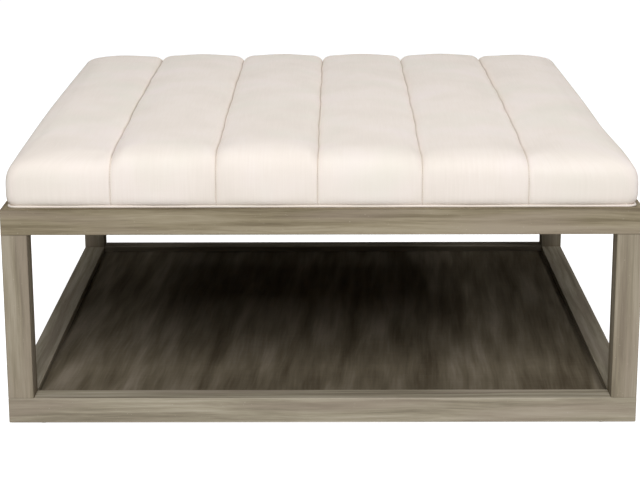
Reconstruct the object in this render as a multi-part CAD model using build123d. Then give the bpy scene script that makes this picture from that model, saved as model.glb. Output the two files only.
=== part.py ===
"""Ottoman coffee table: an open cube frame in square hardwood, a shelf in its base and a channelled seat top.

Millimetres. The origin is on the floor under the middle of the table, +X to the right, +Y to the back, +Z up.
"""

import math
import os

from build123d import *

# Overall sizes of the frame
width = 1016.0
depth = 1016.0
frame_height = 355.0
stock = 41.3
arris = 1.0

# Felt glides, glued under the front and back base rails
glide_height = 3.0
glide_radius = 12.5
glide_setback = 34.0

# Loose tenons in the posts and the stretcher, and splines across the mitres, all glued
glue_gap = 0.1
tenon_length = 36.0
tenon_width = 14.0
tenon_thickness = 8.0
tenon_end_gap = 1.0
tenon_offset_share = 0.2
spline_length = 25.0
spline_width = 22.0
spline_thickness = 5.0
spline_height_share = 0.73

# Shelf panel and the cleats glued under it
shelf_recess = 10.0
shelf_thickness = 18.0
shelf_gap = 0.4
cleat_width = 18.0
cleat_height = 12.0

# Corner blocks and the stretcher under the seat deck, and the screws through them
block_leg = 84.0
block_thickness = 20.0
block_set_down = 1.2
stretcher_width = 60.0
stretcher_tenon_width = 40.0
deck_screw_share = 0.3
screw_radius = 2.2
screw_length = 34.0
head_across_flats = 8.0
head_height = 3.0
head_sides = 6

# Seat top: deck, foam, fibre, cover, welt and dust cloth
deck_thickness = 18.0
deck_gap = 0.4
cover_thickness = 1.5
lining_inset = 4.0
layer_gap = 0.3
fibre_thickness = 12.0
fibre_split = 8.0
hem_width = 46.0
dust_cloth_thickness = 0.6
dust_cloth_lap = 9.0
dust_cloth_clearance = 24.0
welt_radius = 2.0
welt_gap = 0.3
welt_sides = 8

# Outline of the seat top, measured in from the frame's outer faces and up from its top
skirt_inset = 8.0
bulge_inset = 1.0
bulge_height = 40.0
shoulder_radius = 57.0
crown = 2.2
corner_radius = 14.0
corner_chords = 4
padding_corner_chords = 2
skirt_height_shares = (0.0, 0.11, 0.26, 0.56, 1.0)
skirt_out_shares = (0.0, 0.05, 0.62, 0.91, 1.0)
shoulder_angles = (15.0, 30.0, 45.0, 60.0, 75.0, 90.0)
padding_angles = (30.0, 60.0, 90.0)
crown_out_shares = (0.6, 0.2)
corner_growth_share = 0.6
corner_pull_share = 0.5

# Sewn channels, which run front to back
channel_count = 6
channel_pitch = 167.0
seam_depth = 16.0
seam_tuck = 3.5
seam_roll_width = 20.3
roll_across_shares = (0.0, 0.11, 0.37, 1.0)
roll_up_shares = (0.0, 0.37, 0.78, 1.0)
channel_crown = 2.5
crown_overrun = 1.5
tape_thickness = 1.2
seam_bow_share = 3.5

overrun = 20.0

half_x = width / 2
half_y = depth / 2
inner_x = half_x - stock
inner_y = half_y - stock
frame_base = glide_height
rail_top = frame_base + stock
frame_top = frame_base + frame_height
post_top = frame_top - stock
sides = (-1, 1)
corners = [(sx, sy) for sy in sides for sx in sides]
corner_names = {(-1, -1): "front_left", (1, -1): "front_right", (-1, 1): "back_left", (1, 1): "back_right"}
nodes = {}


def box_between(low, high):
    """A box from its lowest corner to its highest."""
    size = [b - a for a, b in zip(low, high)]
    middle = [(a + b) / 2 for a, b in zip(low, high)]
    return Pos(*middle) * Box(*size)


def rod(radius, start, end):
    """A round rod between two points on a line along X, Y or Z."""
    start, end = Vector(*start), Vector(*end)
    run = end - start
    return Plane(origin=(start + end) / 2, z_dir=run) * Cylinder(radius, run.length)


def without(piece, holes):
    """A piece with a list of holes cut in it."""
    for hole in holes:
        piece = piece - hole
    return piece


# Frame: posts stand between two mitred rings of rails
def mitred_rail(length, out, base):
    """The front rail of a ring: mitred at both ends, its four long arrises eased."""
    back = stock - out
    end = length / 2
    outline = Polyline((-end, -out), (end, -out), (end - stock, back), (stock - end, back), close=True)
    rail = Pos(0, 0, base) * extrude(make_face(outline), stock)
    return fillet(rail.edges().filter_by(Axis.X), arris)


def ring_of_rails(base):
    """Front, right, back and left rails of one ring, by name."""
    front = mitred_rail(width, half_y, base)
    right = mitred_rail(depth, half_x, base)
    return {
        "front": front,
        "right": Rot(0, 0, 90) * right,
        "back": Rot(0, 0, 180) * front,
        "left": Rot(0, 0, 270) * right,
    }


def post_tenons(level, gap, end_gap):
    """Two upright tenons at each corner, one into each rail there, or with gaps, their mortises."""
    offset = tenon_offset_share * stock
    height = tenon_length + 2 * end_gap
    wide, thin = tenon_width + 2 * gap, tenon_thickness + 2 * gap
    tenons = []
    for sx, sy in corners:
        middle = Pos(sx * (half_x - stock / 2), sy * (half_y - stock / 2), level)
        tenons.append(middle * Pos(-sx * offset, sy * offset, 0) * Box(wide, thin, height))
        tenons.append(middle * Pos(sx * offset, -sy * offset, 0) * Box(thin, wide, height))
    return tenons


def mitre_splines(level, gap):
    """A flat spline across each mitre of a ring, wider by a gap all round when it is the slot."""
    plate = Box(spline_length + 2 * gap, spline_width + 2 * gap, spline_thickness + 2 * gap)
    return [
        Pos(sx * (half_x - stock / 2), sy * (half_y - stock / 2), level) * Rot(0, 0, -45 * sx * sy) * plate
        for sx, sy in corners
    ]


spline_rise = spline_height_share * stock
top_spline_level = post_top + spline_rise
base_spline_level = rail_top - spline_rise
top_mortises = post_tenons(post_top, glue_gap, tenon_end_gap)
base_mortises = post_tenons(rail_top, glue_gap, tenon_end_gap)

nodes["post_tenons"] = post_tenons(post_top, 0.0, 0.0) + post_tenons(rail_top, 0.0, 0.0)
nodes["mitre_splines"] = mitre_splines(top_spline_level, 0.0) + mitre_splines(base_spline_level, 0.0)
nodes["floor_glides"] = [
    Pos(sx * (half_x - stock / 2 - glide_setback), sy * (half_y - stock / 2), glide_height / 2)
    * Cylinder(glide_radius, glide_height)
    for sx, sy in corners
]

for index, (sx, sy) in enumerate(corners):
    post = Pos(sx * (half_x - stock / 2), sy * (half_y - stock / 2), (rail_top + post_top) / 2) * Box(
        stock, stock, post_top - rail_top
    )
    post = fillet(post.edges().filter_by(Axis.Z), arris)
    pair = slice(2 * index, 2 * index + 2)
    nodes["post_" + corner_names[sx, sy]] = without(post, top_mortises[pair] + base_mortises[pair])

# Shelf: a panel dropped into the base ring, on four glued cleats
shelf_top = rail_top - shelf_recess
shelf_base = shelf_top - shelf_thickness
cleat_middle = shelf_base - cleat_height / 2
shelf_x = inner_x - shelf_gap
shelf_y = inner_y - shelf_gap
nodes["shelf_panel"] = box_between((-shelf_x, -shelf_y, shelf_base), (shelf_x, shelf_y, shelf_top))
for name, side in (("front", -1), ("back", 1)):
    nodes["shelf_cleat_" + name] = Pos(0, side * (inner_y - cleat_width / 2), cleat_middle) * Box(
        2 * inner_x, cleat_width, cleat_height
    )
for name, side in (("left", -1), ("right", 1)):
    nodes["shelf_cleat_" + name] = Pos(side * (inner_x - cleat_width / 2), 0, cleat_middle) * Box(
        cleat_width, 2 * (inner_y - cleat_width), cleat_height
    )

# Top ring: corner blocks and a stretcher that the seat deck is screwed down to
block_top = frame_top - block_set_down
block_base = block_top - block_thickness
screw_inset = deck_screw_share * block_leg
screw_spots = [(sx * (inner_x - screw_inset), sy * (inner_y - screw_inset)) for sx, sy in corners]
screw_spots += [(0, side * inner_y / 2) for side in sides]


def screw_shank(x, y, gap):
    """The shank of a screw driven straight up into the deck, or with a gap, its hole."""
    return rod(screw_radius + gap, (x, y, block_base), (x, y, block_base + screw_length + gap))


def deck_screw(x, y):
    """A hexagon-headed screw, its head tight under a block or the stretcher."""
    outline = Pos(x, y, block_base) * RegularPolygon(head_across_flats / 2, head_sides, major_radius=False)
    return screw_shank(x, y, 0.0) + extrude(outline, -head_height)


screw_holes = [screw_shank(x, y, glue_gap) for x, y in screw_spots]
nodes["deck_screws"] = [deck_screw(x, y) for x, y in screw_spots]

for index, (sx, sy) in enumerate(corners):
    triangle = Polyline(
        (sx * inner_x, sy * inner_y),
        (sx * (inner_x - block_leg), sy * inner_y),
        (sx * inner_x, sy * (inner_y - block_leg)),
        close=True,
    )
    block = Pos(0, 0, block_base) * extrude(make_face(triangle), block_thickness, dir=(0, 0, 1))
    nodes["corner_block_" + corner_names[sx, sy]] = block - screw_holes[index]


def stretcher_tenons(gap, end_gap):
    """A flat tenon at each end of the deck stretcher, into its rail, or with gaps, the mortises."""
    plate = Box(stretcher_tenon_width + 2 * gap, tenon_length + 2 * end_gap, tenon_thickness + 2 * gap)
    return [Pos(0, side * inner_y, block_top - block_thickness / 2) * plate for side in sides]


stretcher_mortises = stretcher_tenons(glue_gap, tenon_end_gap)
nodes["stretcher_tenons"] = stretcher_tenons(0.0, 0.0)
stretcher_x = stretcher_width / 2
stretcher = box_between((-stretcher_x, -inner_y, block_base), (stretcher_x, inner_y, block_top))
nodes["deck_stretcher"] = without(stretcher, stretcher_mortises + screw_holes[len(corners) :])

# Rails, cut for the tenons and splines that they hold
top_cuts = top_mortises + mitre_splines(top_spline_level, glue_gap) + stretcher_mortises
base_cuts = base_mortises + mitre_splines(base_spline_level, glue_gap)
for name, rail in ring_of_rails(post_top).items():
    nodes["top_rail_" + name] = without(rail, top_cuts)
for name, rail in ring_of_rails(frame_base).items():
    nodes["base_rail_" + name] = without(rail, base_cuts)

# Seat top: outline, worked out for the cover's face and for each layer under it
bulge_level = frame_top + bulge_height
shoulder_level = bulge_level + shoulder_radius
crown_half_x = half_x - bulge_inset - shoulder_radius
crown_half_y = half_y - bulge_inset - shoulder_radius


def plan(out_x, out_y, radius, chords):
    """The rounded square of the seat top, each corner drawn in chords of its arc."""
    points = []
    for turn, (side_x, side_y) in enumerate(((1, 1), (-1, 1), (-1, -1), (1, -1))):
        for chord in range(chords + 1):
            angle = math.radians(90 * (turn + chord / chords))
            across = side_x * (out_x - radius) + radius * math.cos(angle)
            along = side_y * (out_y - radius) + radius * math.sin(angle)
            points.append((across, along))
    return points


def side_stations(inset, base):
    """Level and inset of the seat top's side, from a base level up to where the side bulges furthest."""
    stations = []
    for height_share, out_share in zip(skirt_height_shares, skirt_out_shares):
        level = frame_top + height_share * bulge_height
        side_inset = inset + skirt_inset + out_share * (bulge_inset - skirt_inset)
        if level > base and not stations:
            share = (base - below[0]) / (level - below[0])
            stations.append((base, below[1] + share * (side_inset - below[1])))
        if level > base:
            stations.append((level, side_inset))
        below = (level, side_inset)
    return stations


def outlines(inset, base, angles, chords):
    """Outlines of the seat top by level: drawn in at the skirt, bulging, rolled over, slightly crowned."""
    corner = corner_radius - corner_pull_share * inset
    rounds = [(level, side_inset, side_inset, corner) for level, side_inset in side_stations(inset, base)]
    roll = shoulder_radius - inset
    for angle in angles:
        drawn_in = roll * (1 - math.cos(math.radians(angle)))
        level = bulge_level + roll * math.sin(math.radians(angle))
        side_inset = bulge_inset + inset + drawn_in
        rounds.append((level, side_inset, side_inset, corner + corner_growth_share * drawn_in))
    for share in crown_out_shares:
        level = shoulder_level - inset + crown * (1 - share**2)
        radius = share * corner_growth_share * shoulder_radius
        rounds.append((level, half_x - share * crown_half_x, half_y - share * crown_half_y, radius))
    sizes = [(level, half_x - in_x, half_y - in_y, radius) for level, in_x, in_y, radius in rounds]
    return [(level, plan(out_x, out_y, radius, chords)) for level, out_x, out_y, radius in sizes]


def seat_form():
    """The outside of the seat top before its channels are sewn, as a ruled loft."""
    levels = outlines(0.0, frame_top, shoulder_angles, corner_chords)
    sections = [Pos(0, 0, level) * make_face(Polyline(*points, close=True)) for level, points in levels]
    return loft(sections, ruled=True)


def padding_form(inset, base):
    """The seat top a given depth inside its face, in flat facets."""
    levels = outlines(inset, base, padding_angles, padding_corner_chords)
    rings = [[(x, y, level) for x, y in points] for level, points in levels]
    facets = [rings[0], rings[-1]]
    for low, high in zip(rings, rings[1:]):
        low_next, high_next = low[1:] + low[:1], high[1:] + high[:1]
        facets += zip(low, low_next, high_next, high)
    return Solid(Shell([make_face(Polyline(*facet, close=True)) for facet in facets]))


def seam_path(x, inset, base):
    """The line of one seam: up the front face, over the top and down the back, drawn in by its stitching."""
    out = half_y - bulge_inset - seam_tuck - inset
    low = shoulder_level - seam_depth - inset
    middle = low + crown * (1 - (x / crown_half_x) ** 2)
    roll = shoulder_radius - seam_depth - inset
    line = [(x, -out, base), (x, -out, low), (x, 0, middle), (x, out, low), (x, out, base)]
    return FilletPolyline(*line, radius=[roll, seam_bow_share * depth, roll])


def seam_groove():
    """The air over a seam: two rolled edges meet in a cusp, and flare into the channels' crowns."""
    half = channel_pitch / 2
    tuck = seam_depth - channel_crown
    top = seam_depth + overrun
    rolls = zip(roll_across_shares, roll_up_shares)
    points = [(across * seam_roll_width, -up * tuck) for across, up in rolls]
    edges = Curve() + [Polyline(*points, (half, -seam_depth - crown_overrun), (half, -top), (0, -top))]
    return make_face(edges + mirror(edges, Plane.YZ))


seams = [(count - channel_count / 2) * channel_pitch for count in range(1, channel_count)]


def channelled_form():
    """The seat form with its sewn channels."""
    form = seat_form()
    for x in seams:
        path = seam_path(x, 0.0, frame_top - overrun)
        outline = Plane(origin=path @ 0, x_dir=(1, 0, 0), z_dir=(0, 0, 1)) * seam_groove()
        form = form - sweep(outline, path=path)
    return form


def under_seam(x, inset, base, thickness):
    """A thin upright slab under one seam, as deep as the padding."""
    path = seam_path(x, inset, base)
    return extrude(make_face(path + Line(path @ 1, path @ 0)), thickness / 2, both=True)


def padding_strips(inset, base, side_gap):
    """One layer of padding in strips, one to a channel, their seam edges cut back to a slope."""
    layer = padding_form(inset, base)
    top = shoulder_level + crown - inset
    reach = seam_roll_width + side_gap
    over = top + overrun
    rise = [(-reach, over), (-reach, top), (0, top - seam_depth), (reach, top), (reach, over)]
    slopes = extrude(Plane.XZ * make_face(Polyline(*rise, close=True)), half_y, both=True)
    layer = without(layer, [Pos(x, 0, 0) * slopes for x in seams])
    edges = [-half_x, *seams, half_x]
    spans = [(left + side_gap, right - side_gap) for left, right in zip(edges, edges[1:])]
    return [layer & box_between((left, -half_y, base), (right, half_y, over)) for left, right in spans]


# Seat top: the pieces
deck_base = frame_top + cover_thickness
deck_top = deck_base + deck_thickness
hem_inset = skirt_inset + hem_width
hem_x = half_x - hem_inset
hem_y = half_y - hem_inset
cover = channelled_form() - box_between((-hem_x, -hem_y, frame_top - overrun), (hem_x, hem_y, deck_base))
cover = without(cover, padding_strips(lining_inset, deck_base, fibre_split / 2))
nodes["seat_cover"] = without(cover, [under_seam(x, cover_thickness, deck_base, fibre_split) for x in seams])

deck_inset = skirt_inset + lining_inset + deck_gap
deck_plan = plan(half_x - deck_inset, half_y - deck_inset, corner_radius, padding_corner_chords)
deck = Pos(0, 0, deck_base) * extrude(make_face(Polyline(*deck_plan, close=True)), deck_thickness)
nodes["seat_deck"] = without(deck, screw_holes)

dust_inset = hem_inset - dust_cloth_lap
dust_clip = 2 * (stock + screw_inset - dust_inset) + dust_cloth_clearance
dust_plan = chamfer(Rectangle(width - 2 * dust_inset, depth - 2 * dust_inset).vertices(), dust_clip)
dust_cloth = Pos(0, 0, frame_top - dust_cloth_thickness) * extrude(dust_plan, dust_cloth_thickness)
nodes["dust_cloth"] = without(dust_cloth, screw_holes[len(corners) :])

fibre_inset = lining_inset + layer_gap
foam_inset = fibre_inset + fibre_thickness + layer_gap
under_fibre = padding_form(fibre_inset + fibre_thickness, deck_top)
fibre_strips = padding_strips(fibre_inset, deck_top, fibre_split / 2 + layer_gap)
nodes["fibre_wrap"] = [strip - under_fibre for strip in fibre_strips]
for count, strip in enumerate(padding_strips(foam_inset, deck_top, tape_thickness / 2 + layer_gap), 1):
    nodes[f"foam_strip_{count}"] = strip
for count, x in enumerate(seams, 1):
    nodes[f"seam_tape_{count}"] = under_seam(x, cover_thickness + layer_gap, deck_top, tape_thickness)

welt_inset = skirt_inset - welt_gap - welt_radius
welt_plan = plan(half_x - welt_inset, half_y - welt_inset, corner_radius, corner_chords)
welt_path = Pos(0, 0, frame_top + welt_radius) * Polyline(*welt_plan, close=True)
welt_outline = RegularPolygon(welt_radius, welt_sides)
welt_start = Plane(origin=welt_path @ 0, z_dir=welt_path % 0)
nodes["base_welt"] = sweep(welt_start * welt_outline, path=welt_path, transition=Transition.RIGHT)

os.makedirs("parts", exist_ok=True)
for name, shape in nodes.items():
    if isinstance(shape, list):
        shape = Compound(children=[solid for item in shape for solid in item.solids()])
    export_step(shape, f"parts/{name}.step")
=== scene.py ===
import math

import bpy
import numpy as np
from mathutils import Euler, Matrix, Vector


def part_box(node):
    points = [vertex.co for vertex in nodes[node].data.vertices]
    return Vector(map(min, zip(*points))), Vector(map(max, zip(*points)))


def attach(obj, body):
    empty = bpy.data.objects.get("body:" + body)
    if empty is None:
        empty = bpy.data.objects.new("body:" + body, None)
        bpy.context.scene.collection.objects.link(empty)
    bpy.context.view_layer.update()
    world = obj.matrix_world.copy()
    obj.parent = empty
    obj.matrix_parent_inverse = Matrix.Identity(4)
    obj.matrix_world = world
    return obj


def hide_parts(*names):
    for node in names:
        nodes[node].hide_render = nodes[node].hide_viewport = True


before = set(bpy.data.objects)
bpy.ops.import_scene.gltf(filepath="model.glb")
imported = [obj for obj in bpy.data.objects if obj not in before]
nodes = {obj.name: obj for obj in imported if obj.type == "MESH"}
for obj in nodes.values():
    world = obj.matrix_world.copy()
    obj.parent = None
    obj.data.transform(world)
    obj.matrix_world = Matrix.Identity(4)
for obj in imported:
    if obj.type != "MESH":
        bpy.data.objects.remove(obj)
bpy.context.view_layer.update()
scene = bpy.context.scene

# Studio: a white floor that runs on as a white backdrop, a tall soft key from the front, a soft light straight above
# the seat, and weak fills at the sides and back. The camera looks down on the front from a standing eye, as in the
# photograph. A plain surface renders at about the colour that it is painted.
camera_place = (0.00586, -3.29448, 1.02019)
camera_pitch = 0.25018
camera_yaw = 0.00253
camera_roll = 0.00253
camera_lens = 102.3
sensor_width = 36
ambient = 0.035
floor_size = 14.0
floor_glow = 0.88
# Each lamp's name, place, target, width and height in metres, and power in watts.
soft_lamps = (
    ("front_key", (0, -5.86, 4.85), (0, -0.5, 0.35), 2.6, 4.2, 408),
    ("overhead", (0, 0.20, 3.3), (0, 0.20, 0.4), 1.2, 1.1, 17),
    ("left_fill", (-2.60, 0, 3.25), (-0.5, 0, 0.35), 1.3, 0.8, 12),
    ("right_fill", (3.00, 0, 2.85), (0.5, 0, 0.35), 1.3, 0.8, 22),
    ("back_fill", (0, 2.3, 3.8), (0, 0.5, 0.4), 1.6, 0.8, 4),
)


def paint(code):
    """A colour written as an sRGB hex code, as linear red, green, blue and an alpha of 1."""
    channels = np.array([int(code[start : start + 2], 16) for start in (1, 3, 5)]) / 255
    linear = np.where(channels <= 0.04045, channels / 12.92, ((channels + 0.055) / 1.055) ** 2.4)
    return (*(float(value) for value in linear), 1.0)


def add_node(tree, kind, inputs=(), stops=(), **settings):
    """Adds a shader node with its settings and a ramp's stops, sets or links its inputs, and gives its outputs."""
    node = tree.nodes.new("ShaderNode" + kind)
    for name, value in settings.items():
        setattr(node, name, value)
    for name, value in dict(inputs).items():
        if isinstance(value, bpy.types.NodeSocket):
            tree.links.new(value, node.inputs[name])
        else:
            node.inputs[name].default_value = value
    for spot, _ in stops[1:-1]:
        node.color_ramp.elements.new(spot)
    for number, (spot, code) in enumerate(stops):
        stop = node.color_ramp.elements[number]
        stop.position, stop.color = spot, paint(code)
    return node.outputs


def blank_material(name):
    """A material with an empty node tree, and that tree."""
    material = bpy.data.materials.new(name)
    material.use_nodes = True
    material.node_tree.nodes.clear()
    return material, material.node_tree


def seen_directly(tree):
    """1 for a ray from the camera, or one that a mirror or glass has turned, and otherwise 0."""
    path = add_node(tree, "LightPath")
    direct = add_node(tree, "Math", {0: path["Is Camera Ray"], 1: path["Is Glossy Ray"]}, operation="MAXIMUM")
    passed = {0: direct[0], 1: path["Is Transmission Ray"]}
    return add_node(tree, "Math", passed, operation="MAXIMUM")[0]


def softbox(name, place, target, width, height, power):
    """A rectangular lamp at a place, turned towards a target."""
    lamp = bpy.data.lights.new(name, "AREA")
    lamp.shape = "RECTANGLE"
    lamp.size = width
    lamp.size_y = height
    lamp.energy = power
    holder = bpy.data.objects.new(name, lamp)
    holder.location = place
    holder.rotation_euler = (Vector(target) - Vector(place)).to_track_quat("-Z", "Y").to_euler()
    scene.collection.objects.link(holder)


scene.view_settings.view_transform = "Standard"
lens = bpy.data.cameras.new("camera")
lens.sensor_width = sensor_width
lens.lens = camera_lens
camera = bpy.data.objects.new("camera", lens)
camera.location = camera_place
camera.rotation_euler = Euler((math.pi / 2 - camera_pitch, camera_roll, camera_yaw), "XYZ")
scene.collection.objects.link(camera)
scene.camera = camera

world = bpy.data.worlds.new("studio")
world.use_nodes = True
scene.world = world
air = world.node_tree
air.nodes.clear()
white = paint("#FFFFFF")
dim = add_node(air, "Background", {"Color": white, "Strength": ambient})
bright = add_node(air, "Background", {"Color": white, "Strength": 1.0})
sky = add_node(air, "MixShader", {0: seen_directly(air), 1: dim[0], 2: bright[0]})
add_node(air, "OutputWorld", {"Surface": sky[0]})
for lamp in soft_lamps:
    softbox(*lamp)

# The floor glows only where it is seen directly, so it looks white, keeps the shadow and lights nothing.
edge = floor_size / 2
floor_mesh = bpy.data.meshes.new("floor")
floor_mesh.from_pydata([(-edge, -edge, 0), (edge, -edge, 0), (edge, edge, 0), (-edge, edge, 0)], [], [(0, 1, 2, 3)])
floor = bpy.data.objects.new("floor", floor_mesh)
scene.collection.objects.link(floor)
floor_paint, tree = blank_material("matt_white_floor")
matt = add_node(tree, "BsdfDiffuse", {"Color": paint("#EDEDED")})
glow = add_node(tree, "Emission", {"Color": white, "Strength": floor_glow})
both = add_node(tree, "AddShader", {0: matt[0], 1: glow[0]})
shown = add_node(tree, "MixShader", {0: seen_directly(tree), 1: matt[0], 2: both[0]})
add_node(tree, "OutputMaterial", {"Surface": shown[0]})
floor_mesh.materials.append(floor_paint)

# Frame: two rings of mitred square rails, one over and one under four posts, all glued up on loose tenons. The
# hardwood is wire-brushed to open its grain, stained grey, and limed so that the pores hold a paler tone. It has a
# dead-matt finish. Its arrises are darkened with painted shade, and those round the outside of the base are made pale
# with a painted highlight.
stock = 0.0413
middle = 0.508 - stock / 2
top_ring_height, base_ring_height = 0.33735, 0.02365
post_middle = 0.1805
top_rail_colours = ("#796E5A", "#928770", "#A79C86")
base_rail_colours = ("#8B8271", "#A69D8A", "#BBB2A0")
post_colours = ("#817766", "#978D7A", "#AAA08E")
# Painted shade darkens the arrises with the first colour, which also draws the dark glue lines; a painted highlight
# makes the base's outer arrises pale with the second.
arris_shade_and_glue_colour = "#655C4B"
pale_arris_highlight_colour = "#BDB4A2"
pinkish_grey = "#A09285"
lime_fleck = "#D9D1C3"
band_length, band_width = 0.480, 0.019
streak_length, streak_width = 0.240, 0.0068
cast_length, cast_width = 0.240, 0.028
# A real pore is 0.3 mm wide, too fine to show, so pores and flecks are drawn several times as wide.
pore_length, pore_width = 0.030, 0.0014
fleck_size = 0.0016
grain_sway = 0.006
sway_length, sway_width = 0.22, 0.05
arris_start, arris_full = stock / 2 - 0.0016, stock / 2 - 0.0003
arris_tone_blend = 0.004
post_half = 0.1362
# The glue lines: how far from a post's middle and from a mitre they start, and where they are darkest.
post_glue_start, post_glue_full = post_half - 0.0014, post_half - 0.0004
mitre_glue_start, mitre_glue_full = 0.0012, 0.0002


def dressed(name, material):
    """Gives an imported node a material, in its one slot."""
    mesh = nodes[name].data
    mesh.materials.clear()
    mesh.materials.append(material)
    mesh.polygons.foreach_set("material_index", np.zeros(len(mesh.polygons), np.int32))


def drawn_out(tree, place, axis, length, breadth, seed, detail):
    """A noise stretched along one axis: length metres long and breadth metres wide."""
    scale = [1 / breadth] * 3
    scale["XYZ".index(axis)] = 1 / length
    shift = (3.7 * seed, 6.1 * seed, 2.3 * seed)
    spot = add_node(tree, "Mapping", {"Vector": place, "Location": shift, "Scale": scale})
    return add_node(tree, "TexNoise", {"Vector": spot[0], "Scale": 1.0, "Detail": detail})["Fac"]


def swayed(tree, axis, amount, seed):
    """Object coordinates, and the same pushed a little aside by a slow noise, so that the grain wanders."""
    place = add_node(tree, "TexCoord")["Object"]
    slow = [1 / sway_width] * 3
    slow["XYZ".index(axis)] = 1 / sway_length
    spot = add_node(tree, "Mapping", {"Vector": place, "Location": (seed, 2.3 * seed, 1.7 * seed), "Scale": slow})
    sway = add_node(tree, "TexNoise", {"Vector": spot[0], "Scale": 1.0, "Detail": 1.0})
    aside = add_node(tree, "VectorMath", {0: sway["Color"], 1: (0.5, 0.5, 0.5)}, operation="SUBTRACT")
    push = add_node(tree, "VectorMath", {0: aside[0], "Scale": amount * 2}, operation="SCALE")
    return place, add_node(tree, "VectorMath", {0: place, 1: push[0]}, operation="ADD")[0]


def mottled(tree, size, detail, **more):
    """A noise whose patches are about a size in metres, on the piece's own coordinates."""
    place = add_node(tree, "TexCoord")["Object"]
    return add_node(tree, "TexNoise", {"Vector": place, "Scale": 1 / size, "Detail": detail, **more})["Fac"]


def weighed(tree, parts):
    """The sum of values, each times its weight."""
    total = 0.0
    for value, weight in parts:
        total = add_node(tree, "Math", {0: value, 1: weight, 2: total}, operation="MULTIPLY_ADD")[0]
    return total


def evenly(colours, low, high):
    """Colours as the stops of a ramp, evenly spaced from low to high."""
    return [(float(spot), code) for spot, code in zip(np.linspace(low, high, len(colours)), colours)]


def toned(tree, colour, pattern, low, high, share, tone):
    """A colour with another tone over it, by a share that grows as a pattern's value goes from low to high."""
    part = add_node(tree, "MapRange", {"Value": pattern, "From Min": low, "From Max": high, "To Max": share})
    return add_node(tree, "Mix", {"Factor": part[0], 6: colour, 7: tone}, data_type="RGBA")[2]


def covered(tree, colour, rough, relief=(), more=()):
    """Ends a material with a surface and its output. A relief is a pattern, its strength and its height in metres."""
    skin = {"Base Color": colour, "Roughness": rough, **dict(more)}
    if relief:
        skin["Normal"] = add_node(tree, "Bump", dict(zip(("Height", "Strength", "Distance"), relief)))[0]
    surface = add_node(tree, "BsdfPrincipled", skin)
    add_node(tree, "OutputMaterial", {"Surface": surface[0]})


def limed_hardwood(name, axis, centre, seed, colours, arris):
    """Long soft streaks in broader bands with fine pores, a painted tone on each arris, and a dark glued joint.

    The arris tone is painted shade, except on the outer arrises of the base ring, where the pale arris tone is a
    painted highlight. An arris is where both distances across the stick, from its middle line, are nearly half its
    stock. A post's joint is at its end, and a rail's is the mitre, where x and y are equal in size."""
    material, tree = blank_material(name)
    place, bent = swayed(tree, axis, grain_sway, seed)
    band = drawn_out(tree, bent, axis, band_length, band_width, seed, 1.0)
    streak = drawn_out(tree, bent, axis, streak_length, streak_width, seed, 2.0)
    pore = drawn_out(tree, bent, axis, pore_length, pore_width, seed, 1.0)
    tone = weighed(tree, [(band, 0.42), (streak, 0.43), (pore, 0.15)])
    colour = add_node(tree, "ValToRGB", {"Fac": tone}, evenly(colours, 0.38, 0.62))[0]
    cast = drawn_out(tree, bent, axis, cast_length, cast_width, seed + 40, 0.0)
    colour = toned(tree, colour, cast, 0.48, 0.68, 0.38, paint(pinkish_grey))
    fleck = add_node(tree, "TexNoise", {"Vector": place, "Scale": 1 / fleck_size, "Detail": 0.0})["Fac"]
    colour = toned(tree, colour, fleck, 0.84, 0.9, 0.5, paint(lime_fleck))
    offset = add_node(tree, "VectorMath", {0: place, 1: centre}, operation="SUBTRACT")
    size = add_node(tree, "VectorMath", {0: offset[0]}, operation="ABSOLUTE")
    parts = add_node(tree, "SeparateXYZ", {0: size[0]})
    across = [parts[number] for number in range(3) if "XYZ"[number] != axis]
    nearest = add_node(tree, "Math", {0: across[0], 1: across[1]}, operation="MINIMUM")[0]
    whole = add_node(tree, "VectorMath", {0: place}, operation="ABSOLUTE")
    plan = add_node(tree, "SeparateXYZ", {0: whole[0]})
    furthest = add_node(tree, "Math", {0: plan[0], 1: plan[1]}, operation="MAXIMUM")[0]
    # Painted shade on each arris; on the base's outer arrises a pale painted highlight instead.
    inside, outside = middle - arris_tone_blend, middle + arris_tone_blend
    edge_tone = toned(tree, paint(arris_shade_and_glue_colour), furthest, inside, outside, 1.0, paint(arris))
    colour = toned(tree, colour, nearest, arris_start, arris_full, 0.5, edge_tone)
    if axis == "Z":
        colour = toned(tree, colour, parts[2], post_glue_start, post_glue_full, 0.45, paint(arris_shade_and_glue_colour))
    else:
        gap = add_node(tree, "Math", {0: plan[0], 1: plan[1]}, operation="SUBTRACT")
        gap = add_node(tree, "Math", {0: gap[0]}, operation="ABSOLUTE")[0]
        colour = toned(tree, colour, gap, mitre_glue_start, mitre_glue_full, 0.6, paint(arris_shade_and_glue_colour))
    rough = add_node(tree, "MapRange", {"Value": pore, "To Min": 0.50, "To Max": 0.70})[0]
    covered(tree, colour, rough, (tone, 0.3, 0.0004), {"IOR": 1.5, "Specular IOR Level": 0.0})
    return material


rings = (
    ("top_rail_", top_ring_height, 3, top_rail_colours, arris_shade_and_glue_colour),
    ("base_rail_", base_ring_height, 9, base_rail_colours, pale_arris_highlight_colour),
)
sides = (("front", "X", 0, -middle), ("back", "X", 0, middle), ("left", "Y", -middle, 0), ("right", "Y", middle, 0))
for ring_name, height, seed, colours, arris in rings:
    for number, (side, axis, x, y) in enumerate(sides):
        name = ring_name + side
        wood = limed_hardwood("limed_hardwood_" + name, axis, (x, y, height), seed + number, colours, arris)
        dressed(name, wood)
for number, corner in enumerate(("front_left", "front_right", "back_left", "back_right")):
    name = "post_" + corner
    centre = (-middle if "left" in corner else middle, -middle if "front" in corner else middle, post_middle)
    wood = limed_hardwood("limed_hardwood_" + name, "Z", centre, 15 + number, post_colours, arris_shade_and_glue_colour)
    dressed(name, wood)
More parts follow.
